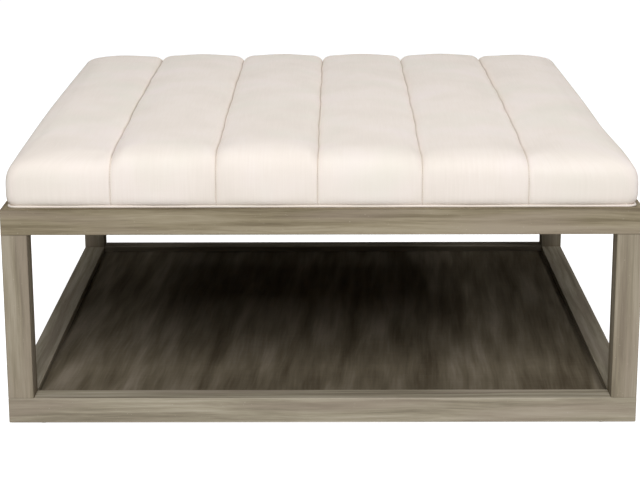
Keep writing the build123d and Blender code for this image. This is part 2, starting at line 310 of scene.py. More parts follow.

# Shelf: a veneered panel in the same stain, its grain running front to back, dropped into the base ring and held on
# cleats. Stained veneer takes the colour unevenly, so it is blotched and faintly rippled across the grain. Its colours
# are also darker than the frame's, which is painted shade from the seat above.
# Darker than the frame's colours: painted shade from the seat above.
shelf_colours_with_painted_shade = ("#544B3D", "#6F6656", "#8A8071")
blotch_length, blotch_width = 0.30, 0.030
figure_length, figure_width = 0.09, 0.0045
ripple_length, ripple_width = 0.030, 0.006
veneer_sway = 0.008
veneer_turn = math.radians(3)
veneer, tree = blank_material("stained_veneer")
place, bent = swayed(tree, "Y", veneer_sway, 31)
turned = add_node(tree, "Mapping", {"Vector": bent, "Rotation": (0, 0, veneer_turn)})[0]
blotch = drawn_out(tree, turned, "Y", blotch_length, blotch_width, 31, 1.0)
figure = drawn_out(tree, turned, "Y", figure_length, figure_width, 32, 2.0)
ripple = drawn_out(tree, turned, "X", ripple_length, ripple_width, 33, 0.0)
tone = weighed(tree, [(blotch, 0.74), (figure, 0.22), (ripple, 0.04)])
colour = add_node(tree, "ValToRGB", {"Fac": tone}, evenly(shelf_colours_with_painted_shade, 0.30, 0.70))[0]
covered(tree, colour, 0.55, (figure, 0.2, 0.0003), {"IOR": 1.5, "Specular IOR Level": 0.0})
dressed("shelf_panel", veneer)

# Inner woodwork: planed, unfinished pine cleats, corner blocks and stretcher, with growth rings along each stick, and
# beech tenons and splines, pale pink-brown with short dark flecks. All are glued; the stretcher carries the deck.
pine_colours = ("#B98D57", "#D2AE79", "#DFC08F")
pine_resin = "#9C7140"
beech_colours = ("#B98C68", "#CBA280", "#D6B191")
beech_fleck = "#9A6A48"
timber_sway = 0.004
ring_length = 0.9
grain_length, grain_width = 0.05, 0.0012
mark_width = 0.0007


def planed_timber(name, axis, colours, ring_width, mark_colour, mark_length, seed):
    """Growth rings as soft lines along one axis, with short flecks or resin lines between them."""
    material, tree = blank_material(name)
    place, bent = swayed(tree, axis, timber_sway, seed)
    ring = drawn_out(tree, bent, axis, ring_length, ring_width, seed, 1.0)
    grain = drawn_out(tree, bent, axis, grain_length, grain_width, seed + 1, 2.0)
    tone = weighed(tree, [(ring, 0.7), (grain, 0.3)])
    colour = add_node(tree, "ValToRGB", {"Fac": tone}, evenly(colours, 0.34, 0.66))[0]
    mark = drawn_out(tree, bent, axis, mark_length, mark_width, seed + 2, 0.0)
    colour = toned(tree, colour, mark, 0.68, 0.76, 0.6, paint(mark_colour))
    covered(tree, colour, 0.65, (grain, 0.2, 0.0002), {"Specular IOR Level": 0.3})
    return material


pine_x = planed_timber("planed_pine_x", "X", pine_colours, 0.004, pine_resin, 0.03, 61)
pine_y = planed_timber("planed_pine_y", "Y", pine_colours, 0.004, pine_resin, 0.03, 61)
beech = planed_timber("steamed_beech", "Z", beech_colours, 0.007, beech_fleck, 0.003, 67)
for name in nodes:
    if name.startswith(("shelf_cleat", "corner_block", "deck_stretcher")):
        along_y = name in ("shelf_cleat_left", "shelf_cleat_right", "deck_stretcher")
        dressed(name, pine_y if along_y else pine_x)
    if name.startswith(("post_tenons", "mitre_splines", "stretcher_tenons")):
        dressed(name, beech)

# Seat deck: birch plywood, thirteen thin plies with crossed grain that show as light and dark lines on the sawn edge,
# screwed up into the seat through the blocks and the stretcher. The screws are zinc-plated, with a bluish grey shine.
ply_thickness = 0.0014
ply_grain_length, ply_grain_width = 0.25, 0.009
plating_cloud = 0.004
plywood, tree = blank_material("birch_plywood")
place, bent = swayed(tree, "X", timber_sway, 71)
height = add_node(tree, "SeparateXYZ", {0: place})[2]
layer = add_node(tree, "Math", {0: height, 1: math.pi / ply_thickness}, operation="MULTIPLY")
layer = add_node(tree, "Math", {0: layer[0]}, operation="SINE")[0]
face = drawn_out(tree, bent, "X", ply_grain_length, ply_grain_width, 71, 2.0)
pale = add_node(tree, "ValToRGB", {"Fac": face}, evenly(("#C9A878", "#D9BD92", "#E4CCA6"), 0.35, 0.65))[0]
colour = toned(tree, pale, layer, 0.2, 0.6, 0.35, paint("#A27C50"))
covered(tree, colour, 0.6, more={"Specular IOR Level": 0.3})
dressed("seat_deck", plywood)

zinc, tree = blank_material("zinc_plated_steel")
cloudy = mottled(tree, plating_cloud, 2.0)
rough = add_node(tree, "MapRange", {"Value": cloudy, "To Min": 0.25, "To Max": 0.45})[0]
colour = add_node(tree, "ValToRGB", {"Fac": cloudy}, evenly(("#A9ADB0", "#C3C6C6"), 0.3, 0.7))[0]
covered(tree, colour, rough, more={"Metallic": 1.0})
dressed("deck_screws", zinc)

# Glides: discs of brown needle felt glued under the base rails, so that the table slides without marking a floor.
# Felt has no weave: matted fibres give it a mottled, quite matt surface.
tuft_size = 0.0015
felt, tree = blank_material("needle_felt")
matted = mottled(tree, tuft_size, 4.0, Roughness=0.7)
colour = add_node(tree, "ValToRGB", {"Fac": matted}, evenly(("#3B2F25", "#54463A", "#6B5C4E"), 0.3, 0.7))[0]
covered(tree, colour, 1.0, (matted, 0.6, 0.0006), {"Specular IOR Level": 0.1})
dressed("floor_glides", felt)

# Seat cover: ivory slubby linen over soft foam, sewn down along five seams that run front to back, so that it
# stands in six plump channels. It rolls over the edges, tucks in at the frame and is stapled under the deck.
cover_low, cover_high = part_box("seat_cover")
set_back = 0.0055
out_x, out_y = cover_high.x - set_back, cover_high.y - set_back
foot = cover_low.z
shoulder = 0.057
bulge = foot + 0.040
flat_x, flat_y = out_x - shoulder, out_y - shoulder
channel = 0.167
seams = channel * np.arange(-2, 3)
corner_tight = 0.014
corner_growth = 0.6
crown = 0.0022
tuck_in = 0.0060
hem = 0.040
lift = 0.0004
# The seams: how deep they are drawn in, how wide the roll beside them is, and the rise of the cover between them.
seam_depth_top, seam_depth_front = 0.0185, 0.0036
roll_top, roll_front = 0.022, 0.010
seam_fade = 0.012
channel_arch = 0.0034
# How the seat has settled: each channel's own give at the front, the sides' give, and the fullness of the edges.
front_give = np.array([0.31, 0.12, 0.10, 0.21, 0.27, 0.34])
side_give, give_width = 0.05, 0.30
give_blend = 0.02
front_fullness, side_fullness = 0.11, 0.19
side_start, side_run = 0.05, 0.12
outer_start, outer_run = 0.008, 0.045
back_rise = 0.003
right_pull = 0.011
pull_start, pull_run, pull_height = 0.05, 0.28, 0.045
seam_drift_front = np.array([0.0, 0.0, -0.0060, -0.0092, -0.0075])
seam_drift_back = np.array([0.0030, 0.0048, 0.0005, -0.0055, -0.0100])
# The mesh: its steps beside a seam, its step across a channel, and the falls of its side's levels.
beside_seam = np.array([0.0, 0.0006, 0.0018, 0.0042, 0.0080, 0.0130, 0.0190, 0.0265])
beside_end, column_step = 0.036, 0.0105
rows = np.linspace(-flat_y, flat_y, 85)
falls = np.concatenate([np.linspace(0, 1, 11), 1 + np.linspace(0, 1, 7)[1:], [2.4, 3.0]])


def spread(start, end, step):
    """Evenly spaced numbers from start up to but not including end, about a step apart."""
    return np.linspace(start, end, max(2, round((end - start) / step)) + 1)[:-1]


def column_places():
    """Places across the seat: close together beside each seam, wider apart over the channels."""
    spans = []
    for start in seams[:-1]:
        end = start + channel
        over = spread(start + beside_end, end - beside_end, column_step)
        spans += [start + beside_seam, over, [end - beside_end], end - beside_seam[:0:-1]]
    inner = np.concatenate([*spans, [seams[-1]]])
    rest = spread(seams[-1] + beside_end, flat_x, column_step)
    outer = np.concatenate([seams[-1] + beside_seam[1:], rest, [flat_x]])
    return np.concatenate([-outer[::-1], inner, outer])


columns = column_places()


def side_profile(fall):
    """Outward reach, height and upward share of the normal of the cover's side.

    From a fall of 0 to 1 it is a quarter roll, (r sin, r cos) of the fall times a right angle; from 1 to 2 it drops
    to the foot and tucks in by the fifth power of the fall; from 2 to 3 it is the hem, level and turned inwards."""
    if fall <= 1:
        angle = fall * math.pi / 2
        return shoulder * math.sin(angle), bulge + shoulder * math.cos(angle), math.cos(angle)
    if fall <= 2:
        down = fall - 1
        return shoulder - tuck_in * down**5, bulge - (bulge - foot - lift) * down, 0.0
    return shoulder - tuck_in - hem * (fall - 2), foot + lift, 0.0


def half_side(places, start, reach, radius):
    """Both ends of a side, from a start that stays put to the middle of its rounded corners.

    A point keeps its share of the length, which is a straight run and then an eighth of a circle. The result is how
    far along the side each point is, how far in from it, and the angle that its normal has turned."""
    sign = np.sign(places)
    run = np.abs(places)
    share = np.clip((run - start) / (run.max() - start), 0, 1)
    straight = reach - radius - start
    gone = share * (straight + radius * math.pi / 4)
    turn = np.clip((gone - straight) / radius, 0, None)
    along = start + np.minimum(gone, straight) + radius * np.sin(turn)
    along = np.where(run <= start, run, along)
    return sign * along, radius * (1 - np.cos(turn)), sign * turn


def level_ring(fall):
    """One level of the cover's side as a closed loop of points, with the outward normal of each."""
    reach, height, rise = side_profile(fall)
    radius = corner_tight + corner_growth * max(0.0, shoulder - reach) if fall < 1 else corner_tight
    x, off_x, turn_x = half_side(columns, seams[-1], flat_x + reach, radius)
    y, off_y, turn_y = half_side(rows, 0.0, flat_y + reach, radius)
    flat = math.sqrt(1 - rise**2)
    front = np.stack([x, off_x - flat_y - reach, np.full_like(x, height)], -1)
    right = np.stack([flat_x + reach - off_y, y, np.full_like(y, height)], -1)
    front_out = np.stack([flat * np.sin(turn_x), -flat * np.cos(turn_x), np.full_like(x, rise)], -1)
    right_out = np.stack([flat * np.cos(turn_y), flat * np.sin(turn_y), np.full_like(y, rise)], -1)
    half_turn = [-1, -1, 1]
    loops = []
    for ahead, aside in ((front, right), (front_out, right_out)):
        around = ahead, aside, ahead * half_turn, aside * half_turn
        loops.append(np.concatenate([part[:-1] for part in around]))
    return loops


def top_sheet():
    """The flat of the seat as a grid whose rim is the first level, with straight columns between the outer seams.

    Outside those, a point is its column's point at the front or back, plus its share across of how far the rim's
    side is from the straight line between its two corners."""
    loop, _ = level_ring(0.0)
    across, along = len(columns), len(rows)
    front, right = loop[:across], loop[across - 1 : across + along - 1]
    back, left = front * [1, -1, 1], right * [-1, 1, 1]
    v = ((rows + flat_y) / (2 * flat_y))[:, None, None]
    share = np.clip((np.abs(columns) - seams[-1]) / (flat_x - seams[-1]), 0, 1)[None, :, None]
    side = np.where(columns[None, :, None] > 0, right[:, None], left[:, None])
    straight = (1 - v) * side[:1] + v * side[-1:]
    return (1 - v) * front[None] + v * back[None] + share * (side - straight)


def to_seam(x):
    """Distance across the seat to the nearest seam."""
    return np.min(np.abs(x[:, None] - seams[None]), axis=1)


def sewn_down(points, outward):
    """Draws the cover in along each seam, and arches it a little between seams.

    Within the width w of a seam's roll the drop is depth * (1 - sqrt(1 - (1 - d / w)^2)), two quarter rolls that
    meet in a cusp. Between seams the cover rises by arch * sin^2(pi * d / channel). Both fade out at the foot."""
    distance = to_seam(points[:, 0])
    up = np.clip(outward[:, 2], 0, 1)
    depth = seam_depth_front + (seam_depth_top - seam_depth_front) * up**2
    width = roll_front + (roll_top - roll_front) * up
    inner = np.clip(1 - distance / width, 0, 1)
    drop = depth * (1 - np.sqrt(1 - inner**2))
    fade = np.clip((points[:, 2] - foot) / seam_fade, 0, 1)
    rise = channel_arch * np.sin(np.pi * np.clip(distance / channel, 0, 1)) ** 2
    return points + outward * ((rise - drop) * fade)[:, None]


def eased(share):
    """The smooth step 3 t^2 - 2 t^3 of a share t, held at 0 and 1."""
    share = np.clip(share, 0, 1)
    return share * share * (3 - 2 * share)


def settled(points):
    """The seat as it has settled, by how far u each point is above the widest line, from 0 there to 1 on top.

    The rolled edges are fuller than a quarter circle: u grows by 4 k u (1 - u). Then u is cut by a share of each
    channel's own at the front, which fades as exp(-(s / w)^2) with the way s to the back, and the back rises.
    Each seam wanders: its drift goes evenly from front to back, plus two sine waves, and fades to nothing at the
    next seam. Behind its front corner the right side leans in, by a smooth step."""
    across = np.abs(points[:, 0])
    behind = np.clip((points[:, 1] + out_y) / (2 * out_y), 0, 1)
    above = np.clip((points[:, 2] - bulge) / shoulder, 0, None)
    aside = np.clip((across - flat_x + side_start) / side_start, 0, 1) * np.clip(behind / side_run, 0, 1)
    fullness = front_fullness + (side_fullness - front_fullness) * aside
    outer = eased((across - seams[-1] + outer_start) / outer_run)
    fade = np.exp(-((behind / give_width) ** 2))
    beside = (seams[:, None] + [-give_blend, give_blend]).ravel()
    give = fade * np.interp(points[:, 0], beside, np.repeat(front_give, 2)[1:-1]) + side_give * outer * (1 - fade)
    lifted = above + 4 * fullness * np.clip(above * (1 - above), 0, None)
    near = np.clip(1 - np.abs(points[:, :1] - seams) / channel, 0, 1)
    y, order = points[:, 1:2], np.arange(len(seams))
    wander = seam_drift_front + (seam_drift_back - seam_drift_front) * behind[:, None]
    wander = wander + 0.0006 * np.sin(21 * y + 1.9 * order) + 0.0004 * np.sin(53 * y + 2.7 * order)
    leaning = eased((behind - pull_start) / pull_run) * np.clip((points[:, 2] - foot) / pull_height, 0, 1)
    at_right = np.clip(1 - (out_x - points[:, 0]) / channel, 0, 1)
    moved = points.copy()
    moved[:, 0] += np.sum(near * wander, axis=1) - right_pull * leaning * at_right
    moved[:, 2] += (lifted * (1 - give) - above) * shoulder + back_rise * behind * np.clip(above, 0, 1)
    return moved


def grid_faces(index, order=((0, 0), (1, 0), (1, 1), (0, 1))):
    """A quad for each cell of a grid of point numbers, its corners in an order of steps down and across."""
    down, across = index.shape[-2] - 1, index.shape[-1] - 1
    corners = [index[..., first : first + down, second : second + across] for first, second in order]
    return np.stack([corner.ravel() for corner in corners], -1)


def cover_surface():
    """Points, quads, flat cloth coordinates and normals of the cover, and each point's distance to a seam.

    It is the top sheet, and then its side level by level, laid out flat by the length of the side's profile."""
    sheet = top_sheet()
    x, y = sheet[..., 0], sheet[..., 1]
    sheet[..., 2] += crown * (1 - (x / flat_x) ** 2) * (1 - (y / flat_y) ** 2)
    deep, wide = sheet.shape[:2]
    index = np.arange(deep * wide).reshape(deep, wide)
    rim = np.concatenate([index[0, :-1], index[:-1, -1], index[-1, :0:-1], index[:0:-1, 0]])
    points, outward = [sheet.reshape(-1, 3)], [np.tile([0.0, 0.0, 1.0], (deep * wide, 1))]
    cloth = [sheet.reshape(-1, 3)[:, :2]]
    quads = [grid_faces(index, ((0, 0), (0, 1), (1, 1), (1, 0)))]
    above, count, fallen = rim, deep * wide, 0.0
    rim_place = points[0][rim, :2]
    last = side_profile(0.0)
    for fall in falls[1:]:
        here = side_profile(fall)
        fallen += math.hypot(here[0] - last[0], here[1] - last[1])
        last = here
        loop, normal = level_ring(fall)
        points.append(loop)
        outward.append(normal)
        level = normal[:, :2] / np.linalg.norm(normal[:, :2], axis=1, keepdims=True)
        cloth.append(rim_place + level * fallen)
        below = count + np.arange(len(rim))
        count += len(rim)
        quads.append(np.stack([above, below, np.roll(below, -1), np.roll(above, -1)], -1))
        above = below
    points, outward = np.concatenate(points), np.concatenate(outward)
    distance = to_seam(points[:, 0])
    return settled(sewn_down(points, outward)), np.concatenate(quads), np.concatenate(cloth), outward, distance


def mesh_object(name, points, faces, cloth=None):
    """A smooth mesh from points and arrays of faces, with flat cloth coordinates as its UV map."""
    mesh = bpy.data.meshes.new(name)
    mesh.from_pydata(points.tolist(), [], [face for part in faces for face in part.tolist()])
    mesh.polygons.foreach_set("use_smooth", np.ones(len(mesh.polygons), bool))
    if cloth is not None:
        corner = np.empty(len(mesh.loops), np.int32)
        mesh.loops.foreach_get("vertex_index", corner)
        mesh.uv_layers.new(name="cloth").data.foreach_set("uv", cloth[corner].ravel())
    mesh.update()
    piece = bpy.data.objects.new(name, mesh)
    scene.collection.objects.link(piece)
    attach(piece, "root")
    return piece


def stuffed(piece, held, outward, pressure, most, least, frames):
    """Lets pressure swell the cover's cloth while the sewn points are held, and keeps each move below a limit.

    A move of length m becomes most * tanh(m / most), with half of its part along the surface. Inwards it goes no
    further than the least."""
    start = np.empty(len(piece.data.vertices) * 3)
    piece.data.vertices.foreach_get("co", start)
    pinned = piece.vertex_groups.new(name="sewn")
    pinned.add(np.flatnonzero(held).tolist(), 1.0, "REPLACE")
    cloth = piece.modifiers.new("stuffing", "CLOTH")
    stuff = cloth.settings
    stuff.vertex_group_mass = "sewn"
    stuff.quality = 5
    stuff.mass = 0.3
    stuff.tension_stiffness = stuff.compression_stiffness = 30
    stuff.shear_stiffness = 12
    stuff.bending_stiffness = 4
    stuff.use_pressure = True
    stuff.uniform_pressure_force = pressure
    stuff.effector_weights.gravity = 0
    cloth.point_cache.frame_start, cloth.point_cache.frame_end = 1, frames
    for number in range(1, frames + 1):
        scene.frame_set(number)
    swollen = piece.evaluated_get(bpy.context.evaluated_depsgraph_get()).data
    end = np.empty_like(start)
    swollen.vertices.foreach_get("co", end)
    move = (end - start).reshape(-1, 3)
    size = np.linalg.norm(move, axis=1, keepdims=True)
    move *= most * np.tanh(size / most) / np.maximum(size, 1e-9)
    lifted = np.sum(move * outward, axis=1, keepdims=True)
    move = 0.5 * (move - outward * lifted) + outward * np.maximum(lifted, -least)
    piece.modifiers.remove(cloth)
    scene.frame_set(1)
    piece.data.vertices.foreach_set("co", start + move.ravel())
    piece.data.update()
    return start.reshape(-1, 3) + move


points, quads, flat_cloth, outward, distance = cover_surface()
cover = mesh_object("linen_cover", points, [quads], flat_cloth)
held_at_foot, held_at_seam = 0.004, 0.003
at_foot = (outward[:, 2] < 1e-6) & (points[:, 2] < foot + held_at_foot)
held = (distance < held_at_seam) | at_foot
points = stuffed(cover, held, outward, pressure=4.0, most=0.004, least=0.0003, frames=20)

# A fold's shade is held in an attribute, by distance to the seam and by how upright the surface is there.
crease_width = 0.0016
crease_at, crease_shares = (0, 0.3, 0.65, 1), (0.36, 0.28, 0.2, 0.3)
on_front = 1 - np.clip(outward[:, 2], 0, 1)
seam_shade = np.clip(1 - distance / crease_width, 0, 1) * np.interp(on_front, crease_at, crease_shares)
shade = cover.data.attributes.new("seam", "FLOAT", "POINT")
shade.data.foreach_set("value", seam_shade)
ends = np.empty(len(cover.data.edges) * 2, np.int32)
cover.data.edges.foreach_get("vertices", ends)
folded = (distance < 1e-6)[ends].reshape(-1, 2).all(axis=1)
cover.data.attributes.new("crease_edge", "FLOAT", "EDGE").data.foreach_set("value", folded.astype(np.float32))
smooth = cover.modifiers.new("smooth", "SUBSURF")
smooth.levels = smooth.render_levels = 1

# Linen's threads are about 0.4 mm wide, too fine to show, so its slubs and thread bundles are drawn at 2 to 3 mm.
linen_colours = ("#EDE3D9", "#F4EAE1", "#FAF2EA")
pink_cast, green_cast = "#F4E7E3", "#EDE9DD"
crease_shade_colour = "#A2968A"
thread_length, thread_width = 0.045, 0.0021
slub_length, slub_width = 0.085, 0.0034
cloud_size = 0.13
linen, tree = blank_material("slubby_linen")
flat = add_node(tree, "UVMap", uv_map="cloth")[0]
warp = drawn_out(tree, flat, "Y", thread_length, thread_width, 51, 2.0)
weft = drawn_out(tree, flat, "X", thread_length, thread_width, 52, 2.0)
slub = drawn_out(tree, flat, "Y", slub_length, slub_width, 53, 1.0)
cloud = add_node(tree, "TexNoise", {"Vector": flat, "Scale": 1 / cloud_size, "Detail": 2.0})
tone = weighed(tree, [(warp, 0.17), (weft, 0.06), (slub, 0.14), (cloud["Fac"], 0.63)])
colour = add_node(tree, "ValToRGB", {"Fac": tone}, evenly(linen_colours, 0.30, 0.70))[0]
parts = add_node(tree, "SeparateColor", {0: cloud["Color"]})
colour = toned(tree, colour, parts[0], 0.5, 0.75, 0.5, paint(pink_cast))
colour = toned(tree, colour, parts[1], 0.5, 0.75, 0.5, paint(green_cast))
# Painted shade: the seam attribute darkens the linen towards the crease colour in each fold.
sewn = add_node(tree, "Attribute", attribute_name="seam")["Fac"]
colour = add_node(tree, "Mix", {"Factor": sewn, 6: colour, 7: paint(crease_shade_colour)}, data_type="RGBA")[2]
relief = weighed(tree, [(warp, 0.5), (weft, 0.2), (slub, 0.4)])
shine = {"IOR": 1.45, "Specular IOR Level": 0.2, "Sheen Weight": 0.08, "Sheen Roughness": 0.5}
covered(tree, colour, 0.9, (relief, 0.14, 0.0005), shine)
cover.data.materials.append(linen)
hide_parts("seat_cover")

# Stitches: a row of cream polyester thread down the middle of each seam, through the cover into the webbing. They lie
# at the bottom of the fold on top of the seat, and show as a faint dotted line where the seam runs down its side.
stitch_pitch, stitch_length, stitch_radius = 0.0042, 0.0029, 0.00038
stitch_lift = 0.0002
thread_twist = 0.0006
rod_sides = 6
rod_stations, rod_widths = np.array([-0.42, -0.25, 0.25, 0.42]), np.array([0.55, 1, 1, 0.55])


def rods(centres, forward, length, radius):
    """Short round-ended rods: rings of radius r * (0.55, 1, 1, 0.55) along each direction, closed at both poles."""
    forward = forward / np.linalg.norm(forward, axis=1, keepdims=True)
    hint = np.where(np.abs(forward[:, :1]) > 0.8, [[0.0, 1.0, 0.0]], [[1.0, 0.0, 0.0]])
    across = np.cross(forward, hint)
    across /= np.linalg.norm(across, axis=1, keepdims=True)
    up = np.cross(forward, across)
    here = np.arange(rod_sides)
    turn = here * 2 * math.pi / rod_sides
    circle = across[:, None] * np.cos(turn)[None, :, None] + up[:, None] * np.sin(turn)[None, :, None]
    places, widths = (rod_stations * length)[None, :, None, None], (rod_widths * radius)[None, :, None, None]
    rings = centres[:, None, None] + forward[:, None, None] * places + circle[:, None] * widths
    poles = centres[:, None] + forward[:, None] * np.array([-0.5, 0.5])[None, :, None] * length
    points = np.concatenate([rings.reshape(len(centres), -1, 3), poles], axis=1)
    after = (here + 1) % rod_sides
    wall = np.stack([here, after, after + rod_sides, here + rod_sides], -1)
    walls = np.concatenate([wall + rod_sides * level for level in range(3)])
    pole = np.full(rod_sides, 4 * rod_sides)
    first = np.stack([after, here, pole], -1)
    last = np.stack([here + 3 * rod_sides, after + 3 * rod_sides, pole + 1], -1)
    start = (np.arange(len(centres)) * points.shape[1])[:, None, None]
    faces = [(walls + start).reshape(-1, 4), (first + start).reshape(-1, 3), (last + start).reshape(-1, 3)]
    return points.reshape(-1, 3), faces


def seam_line(seam):
    """Points and normals along one seam, from the front foot over the seat to the back foot."""
    column = int(np.argmin(np.abs(columns - seam)))
    wide, deep = len(columns), len(rows)
    around = 2 * (wide + deep - 2)
    wall = wide * deep + around * np.arange(int(np.sum((falls > 0) & (falls <= 2))))
    front = wall[::-1] + column
    top = np.arange(deep) * wide + column
    back = wall + (wide - 1) + (deep - 1) + (wide - 1 - column)
    route = np.concatenate([front, top, back])
    return points[route], outward[route]


def along_line(spots, gone, line):
    """Points at distances along a line, whose own points are at the distances gone."""
    return np.stack([np.interp(spots, gone, line[:, number]) for number in range(3)], -1)


stitch_places, stitch_ways = [], []
for seam in seams:
    line, normal = seam_line(seam)
    step = np.linalg.norm(np.diff(line, axis=0), axis=1)
    gone = np.concatenate([[0.0], np.cumsum(step)])
    spots = np.arange(stitch_pitch, gone[-1] - stitch_pitch, stitch_pitch)
    on_line = along_line(spots, gone, line)
    stitch_places.append(on_line + along_line(spots, gone, normal) * stitch_lift)
    stitch_ways.append(on_line - along_line(spots - 0.001, gone, line))
stitch_mesh = rods(np.concatenate(stitch_places), np.concatenate(stitch_ways), stitch_length, stitch_radius)
stitches = mesh_object("seam_stitches", *stitch_mesh)
thread, tree = blank_material("twisted_polyester_thread")
twist = mottled(tree, thread_twist, 1.0)
colour = add_node(tree, "ValToRGB", {"Fac": twist}, evenly(("#C4B8A8", "#DDD3C6"), 0.35, 0.65))[0]
covered(tree, colour, 0.6, more={"Specular IOR Level": 0.4})
stitches.data.materials.append(thread)

# Stuffing: six strips of cream polyurethane foam with fine open cells, a white polyester fibre wrap that softens their
# edges, and cotton webbing at each seam, which the cover is sewn to and which draws it down between the strips.
cell_size = 0.0018
foam, tree = blank_material("open_cell_foam")
place = add_node(tree, "TexCoord")["Object"]
cells = add_node(tree, "TexVoronoi", {"Vector": place, "Scale": 1 / cell_size})["Distance"]
colour = add_node(tree, "ValToRGB", {"Fac": cells}, evenly(("#F3EBD0", "#EADFBE", "#CDBF97"), 0.0, 0.9))[0]
bump = add_node(tree, "Bump", {"Strength": 0.5, "Distance": 0.0008, "Height": cells}, invert=True)[0]
covered(tree, colour, 1.0, more={"Normal": bump, "Specular IOR Level": 0.2})

fluff_size = 0.009
fibre, tree = blank_material("polyester_fibre")
fluff = mottled(tree, fluff_size, 6.0, Roughness=0.7, Distortion=1.5)
colour = add_node(tree, "ValToRGB", {"Fac": fluff}, evenly(("#DADBDA", "#EEEFEE", "#FAFAFA"), 0.3, 0.7))[0]
covered(tree, colour, 1.0, (fluff, 0.5, 0.0025), {"Sheen Weight": 0.3})

# A wave's bands repeat at every 0.314 of its scale, so this gives one to about each rib.
rib_pitch = 0.0022
webbing, tree = blank_material("cotton_webbing")
place = add_node(tree, "TexCoord")["Object"]
wave = {"Vector": place, "Scale": 1 / rib_pitch / 6.283 * 2, "Distortion": 0.6}
ribs = add_node(tree, "TexWave", wave, bands_direction="Z")["Fac"]
picks = add_node(tree, "TexWave", wave, bands_direction="Y")["Fac"]
tone = weighed(tree, [(ribs, 0.5), (picks, 0.5)])
colour = add_node(tree, "ValToRGB", {"Fac": tone}, evenly(("#BDB39C", "#D8D0BC", "#E8E2D2"), 0.1, 0.9))[0]
covered(tree, colour, 0.9, (ribs, 0.5, 0.0004), {"Specular IOR Level": 0.2})

# A hair is the gap or the overlap between soft pieces that touch.
hair = 0.0001
deck_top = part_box("seat_deck")[1].z
on_deck = deck_top + 2 * hair


def soft_block(name, low, high, rounding, material):
    """A block with rounded edges, r of its own along each axis, that has settled as the seat has.

    A cube's surface grid is scaled to the block; what lies past the inner box, as a share of r, is pushed out to a
    length of 1, so that edges and corners become parts of an ellipsoid."""
    half, centre = (high - low) / 2, (high + low) / 2
    rounding = np.minimum(rounding, half * 0.999)
    line = np.concatenate([np.linspace(-1, -0.5, 6), np.linspace(-0.5, 0.5, 13)[1:-1], np.linspace(0.5, 1, 6)])
    edge = half - rounding
    grids = []
    for axis in range(3):
        first, second = (axis + 1) % 3, (axis + 2) % 3
        u, v = np.meshgrid(line, line, indexing="ij")
        for sign in (-1, 1):
            cube = np.empty((*u.shape, 3))
            cube[..., axis], cube[..., first], cube[..., second] = sign, u, v
            grids.append(cube if sign > 0 else cube[::-1])
    cube = np.stack(grids).reshape(-1, 3)
    size = np.abs(cube)
    spot = np.where(size <= 0.5, size * 2 * edge, edge + (size * 2 - 1) * rounding)
    past = np.clip(spot - edge, 0, None) / rounding
    length = np.linalg.norm(past, axis=1, keepdims=True)
    place = np.minimum(spot, edge) + rounding * past / np.maximum(length, 1e-9)
    points = settled(np.sign(cube) * place + centre)
    faces = grid_faces(np.arange(len(points)).reshape(6, len(line), len(line)))
    _, first, same = np.unique(np.round(points, 6), axis=0, return_index=True, return_inverse=True)
    block = mesh_object(name, points[first], [same.ravel()[faces]])
    block.data.materials.append(material)
    return block


def thicken(piece, name, thickness, offset):
    """Gives a sheet its thickness: inwards for an offset of -1, outwards for 1."""
    wall = piece.modifiers.new(name, "SOLIDIFY")
    wall.thickness, wall.offset = thickness, offset


foam_inset_low, foam_inset_high = [0.004, 0.004, 0.0], [0.004, 0.004, 0.006]
foam_rounding, wrap_rounding = np.array([0.030, 0.040, 0.036]), np.array([0.048, 0.056, 0.050])
wrap_gap, wrap_top, wrap_thickness = 0.0016, 0.4465, 0.006
wrap_reach = out_x - 0.0060
for number in range(len(seams) + 1):
    name = f"foam_strip_{number + 1}"
    low, high = (np.array(corner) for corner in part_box(name))
    block = soft_block("soft_" + name, low + foam_inset_low, high - foam_inset_high, foam_rounding, foam)
    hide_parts(name)
edges = np.concatenate([[-out_x], seams, [out_x]])
wraps = []
for number in range(len(seams) + 1):
    inner, outer = edges[number] + wrap_gap, edges[number + 1] - wrap_gap
    low = np.array([max(inner, -wrap_reach), -wrap_reach, on_deck])
    high = np.array([min(outer, wrap_reach), wrap_reach, wrap_top])
    wrap = soft_block(f"fibre_wrap_{number + 1}", low, high, wrap_rounding, fibre)
    thicken(wrap, "wrap_thickness", wrap_thickness, -1.0)
    wraps.append(wrap)
for wrap in wraps:
    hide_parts("fibre_wrap")

tape_drop, tape_thickness, tape_least, tape_end = 0.0016, 0.0012, 0.012, 0.4995
for number, seam in enumerate(seams):
    line, _ = seam_line(seam)
    line = line[line[:, 2] > deck_top + tape_least]
    share = np.linspace(0, 1, 9)[:, None, None]
    top = line - [0, 0, tape_drop]
    top[:, 1] = np.clip(top[:, 1], -tape_end, tape_end)
    bottom = top * [1, 1, 0] + [0, 0, on_deck]
    grid = top[None] * (1 - share) + bottom[None] * share
    index = np.arange(grid.size // 3).reshape(grid.shape[:2])
    tape = mesh_object(f"cotton_tape_{number + 1}", grid.reshape(-1, 3), [grid_faces(index)])
    thicken(tape, "tape_thickness", tape_thickness, 0.0)
    tape.data.materials.append(webbing)
    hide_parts(f"seam_tape_{number + 1}")

# Welt: a thin cotton cord wrapped in bias-cut strips of the same linen, laid round the foot of the seat where it meets
# the frame. Its threads cross it at 45 degrees, and the cord under them is a little uneven.
welt_low, welt_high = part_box("base_welt")
welt_radius = (welt_high.z - welt_low.z) / 2 + hair
welt_reach = welt_high.x - set_back - welt_radius
welt_corner = 0.012
welt_sides = 14
welt_step = 0.005


